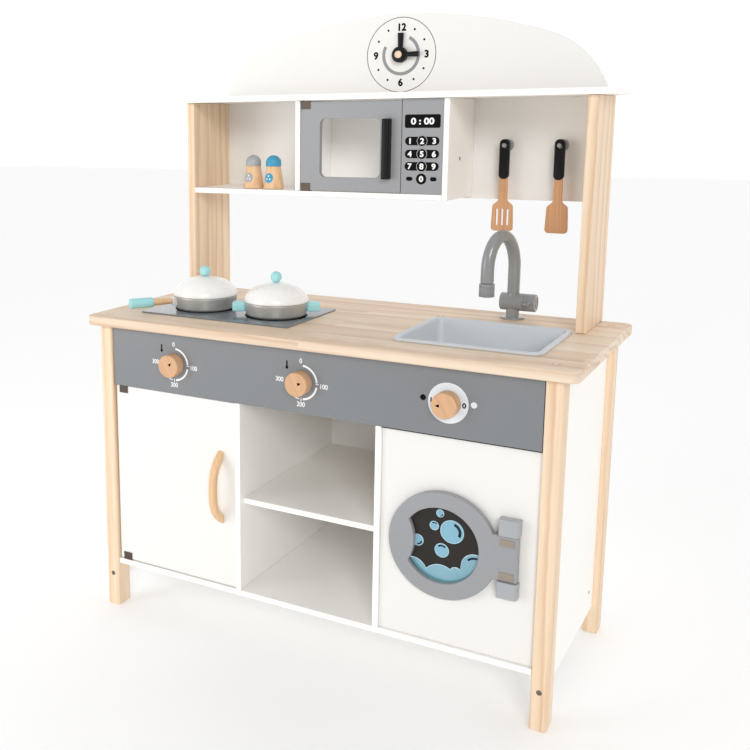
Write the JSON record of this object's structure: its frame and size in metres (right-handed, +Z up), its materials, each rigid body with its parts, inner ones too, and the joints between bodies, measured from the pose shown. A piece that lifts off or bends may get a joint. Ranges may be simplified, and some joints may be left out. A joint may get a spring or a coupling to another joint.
{
  "type": "toy kitchen",
  "caption": "Free-standing wooden play kitchen with hob, sink, swivel tap, microwave, clock, cupboard door, open shelves and washing machine door, with pans, utensils and shakers.",
  "frame": {"origin": "middle of the footprint, on the floor under the legs", "axes": "+X to the right seen from the front, +Y towards the back, +Z up"},
  "size_m": [0.8, 0.3862, 1.009],
  "materials": {
    "pine": "clear satin lacquer on pine",
    "white_board": "white satin paint on fibreboard",
    "dark_grey_board": "dark grey satin paint on fibreboard",
    "mid_grey_board": "mid grey satin paint on fibreboard",
    "beech": "bare beech, sanded",
    "hinge_metal": "dark bronze coating",
    "black_print": "satin black",
    "hob_glass_print": "glossy black-grey sheet",
    "pan_steel": "brushed",
    "lid_enamel": "glossy white",
    "turquoise_paint": "pale turquoise satin paint",
    "sink_plastic": "satin silver grey",
    "tap_plastic": "satin dark grey",
    "shaker_grey": "bare beech with a grey painted cap",
    "shaker_blue": "bare beech with a blue painted cap"
  },
  "bodies": {
    "cabinet": {"worktop": "pine", "front_left_leg": "pine", "front_right_leg": "pine", "rear_left_leg": "pine", "rear_right_leg": "pine", "left_side_panel": "white_board", "right_side_panel": "white_board", "lower_back_panel": "white_board", "base_panel": "white_board", "left_divider": "white_board", "right_divider": "white_board", "middle_shelf": "white_board", "control_fascia": "dark_grey_board", "washer_panel": "white_board", "washer_hinge_block_top": "mid_grey_board", "washer_hinge_block_bottom": "mid_grey_board", "left_post": "pine", "right_post": "pine", "back_panel": "white_board", "header_board": "white_board", "upper_shelf": "white_board", "microwave_left_side": "white_board", "microwave_right_side": "white_board", "microwave_control_panel": "mid_grey_board", "clock_peg": "pine", "hob_plate": "hob_glass_print", "sink": "sink_plastic", "tap_body": "tap_plastic", "left_hook": "tap_plastic", "right_hook": "tap_plastic"},
    "cupboard_door": {"cabinet_door": "white_board", "cabinet_door_hinge_top": "hinge_metal", "cabinet_door_hinge_bottom": "hinge_metal", "cabinet_door_handle": "beech"},
    "washing_door": {"washer_door": "mid_grey_board", "washer_window": "black_print"},
    "oven_door": {"microwave_door": "mid_grey_board", "microwave_door_hinge_top": "hinge_metal", "microwave_door_hinge_bottom": "hinge_metal", "microwave_door_handle": "black_print"},
    "left_knob": {"left_hob_knob": "beech"},
    "right_knob": {"right_hob_knob": "beech"},
    "selector_knob": {"washer_knob": "beech"},
    "minute_hand": {"clock_minute_hand": "black_print"},
    "hour_hand": {"clock_hour_hand": "black_print"},
    "spout": {"tap_spout": "tap_plastic"},
    "lever": {"tap_lever": "tap_plastic"},
    "skillet": {"frying_pan": "pan_steel", "frying_pan_handle": "beech"},
    "skillet_lid": {"frying_pan_lid": "lid_enamel", "frying_pan_lid_knob": "turquoise_paint"},
    "pot": {"casserole": "pan_steel", "casserole_left_handle": "turquoise_paint", "casserole_right_handle": "turquoise_paint"},
    "pot_lid": {"casserole_lid": "lid_enamel", "casserole_lid_knob": "turquoise_paint"},
    "turner": {"slotted_turner": "beech"},
    "flat_spatula": {"spatula": "beech"},
    "grey_pot": {"grey_shaker": "shaker_grey"},
    "blue_pot": {"blue_shaker": "shaker_blue"}
  },
  "joints": [
    {"name": "cupboard_door_hinge", "type": "hinge", "parent": "cabinet", "child": "cupboard_door", "pos_m": [-0.344, -0.16015, 0.2435], "axis": [0, 0, -1], "range_deg": [0, 105]},
    {"name": "washing_door_hinge", "type": "hinge", "parent": "cabinet", "child": "washing_door", "pos_m": [0.326, -0.16765, 0.24], "axis": [0, 0, 1], "range_deg": [0, 105]},
    {"name": "microwave_door_hinge", "type": "hinge", "parent": "cabinet", "child": "oven_door", "pos_m": [-0.1204, 0.06585, 0.792], "axis": [0, 0, -1], "range_deg": [0, 105]},
    {"name": "left_knob_turn", "type": "hinge", "parent": "cabinet", "child": "left_knob", "pos_m": [-0.2325, -0.16615, 0.449], "axis": [0, 1, 0], "continuous": true},
    {"name": "right_knob_turn", "type": "hinge", "parent": "cabinet", "child": "right_knob", "pos_m": [-0.0025, -0.16615, 0.449], "axis": [0, 1, 0], "continuous": true},
    {"name": "selector_knob_turn", "type": "hinge", "parent": "cabinet", "child": "selector_knob", "pos_m": [0.225, -0.16615, 0.449], "axis": [0, 1, 0], "continuous": true},
    {"name": "minute_hand_turn", "type": "hinge", "parent": "cabinet", "child": "minute_hand", "pos_m": [0.003, 0.18415, 0.942], "axis": [0, 1, 0], "continuous": true},
    {"name": "hour_hand_turn", "type": "hinge", "parent": "cabinet", "child": "hour_hand", "pos_m": [0.003, 0.18415, 0.942], "axis": [0, 1, 0], "continuous": true},
    {"name": "spout_swivel", "type": "hinge", "parent": "cabinet", "child": "spout", "pos_m": [0.224, 0.13485, 0.56], "axis": [0, 0, 1], "range_deg": [-75, 75]},
    {"name": "lever_lift", "type": "hinge", "parent": "cabinet", "child": "lever", "pos_m": [0.2523, 0.13485, 0.5445], "axis": [-1, 0, 0], "range_deg": [-30, 60]},
    {"name": "skillet_lift", "type": "slide", "parent": "cabinet", "child": "skillet", "axis": [0, 0, 1], "range_m": [0, 0.06]},
    {"name": "skillet_lid_lift", "type": "slide", "parent": "skillet", "child": "skillet_lid", "axis": [0, 0, 1], "range_m": [0, 0.05]},
    {"name": "pot_lift", "type": "slide", "parent": "cabinet", "child": "pot", "axis": [0, 0, 1], "range_m": [0, 0.06]},
    {"name": "pot_lid_lift", "type": "slide", "parent": "pot", "child": "pot_lid", "axis": [0, 0, 1], "range_m": [0, 0.05]},
    {"name": "turner_swing", "type": "hinge", "parent": "cabinet", "child": "turner", "pos_m": [0.192, 0.16485, 0.792], "axis": [0, 1, 0], "range_deg": [-15, 15]},
    {"name": "flat_spatula_swing", "type": "hinge", "parent": "cabinet", "child": "flat_spatula", "pos_m": [0.2785, 0.16485, 0.792], "axis": [0, 1, 0], "range_deg": [-15, 15]},
    {"name": "grey_shaker_slide", "type": "slide", "parent": "cabinet", "child": "grey_pot", "axis": [0, -1, 0], "range_m": [0, 0.05]},
    {"name": "blue_shaker_slide", "type": "slide", "parent": "cabinet", "child": "blue_pot", "axis": [0, -1, 0], "range_m": [0, 0.05]}
  ]
}
